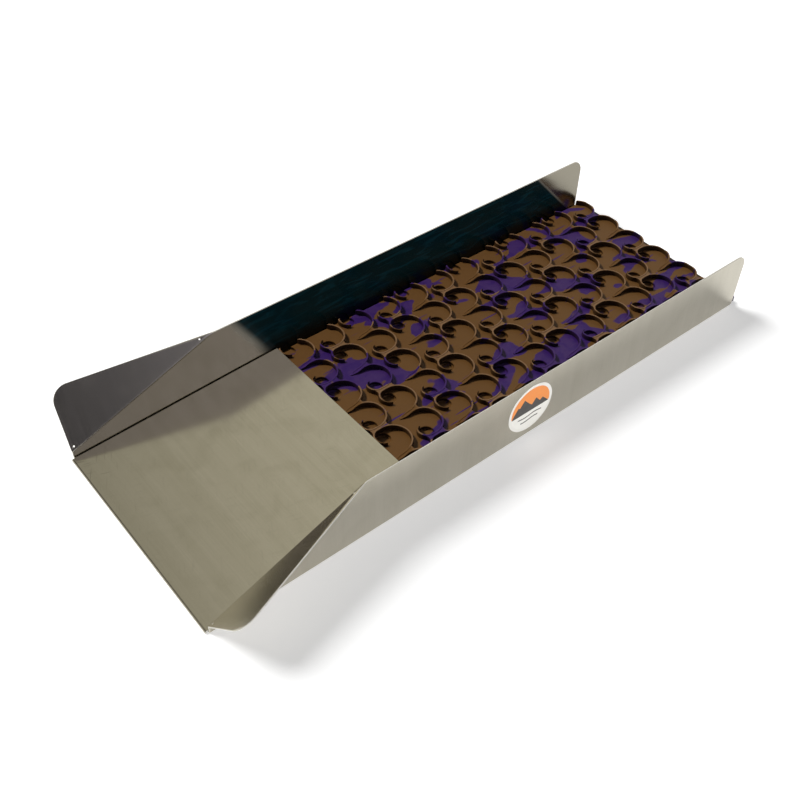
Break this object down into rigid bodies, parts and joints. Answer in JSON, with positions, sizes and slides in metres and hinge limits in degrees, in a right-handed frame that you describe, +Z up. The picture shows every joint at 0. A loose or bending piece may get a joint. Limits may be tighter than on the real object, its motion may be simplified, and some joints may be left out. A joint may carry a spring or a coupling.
{
  "type": "sluice box",
  "caption": "Folded sheet-metal sluice trough with a flared mouth, a lift-off slick plate that ramps up from the mouth, and a rubber riffle mat with moulded swirls.",
  "frame": {"origin": "middle of the footprint, on the surface the box stands on", "axes": "+X along the flow towards the outlet, +Y towards the wall without the label, +Z up"},
  "size_m": [0.7196, 0.3412, 0.075],
  "materials": {
    "trough_sheet": "brushed mill-finish sheet, grain up the walls",
    "slick_sheet": "brushed mill-finish sheet, grain across the flow",
    "mat_rubber": "moulded brown rubber marbled with purple",
    "label_vinyl": "printed vinyl with a white border"
  },
  "bodies": {
    "trough": {"trough": "trough_sheet", "label": "label_vinyl"},
    "slick_plate": {"slick_plate": "slick_sheet"},
    "riffle_mat": {"riffle_mat": "mat_rubber"}
  },
  "joints": [
    {"name": "slick_plate_lift", "type": "slide", "parent": "trough", "child": "slick_plate", "axis": [0, 0, 1], "range_m": [0, 0.1]},
    {"name": "riffle_mat_pull", "type": "slide", "parent": "trough", "child": "riffle_mat", "axis": [1, 0, 0], "range_m": [0, 0.49]}
  ]
}
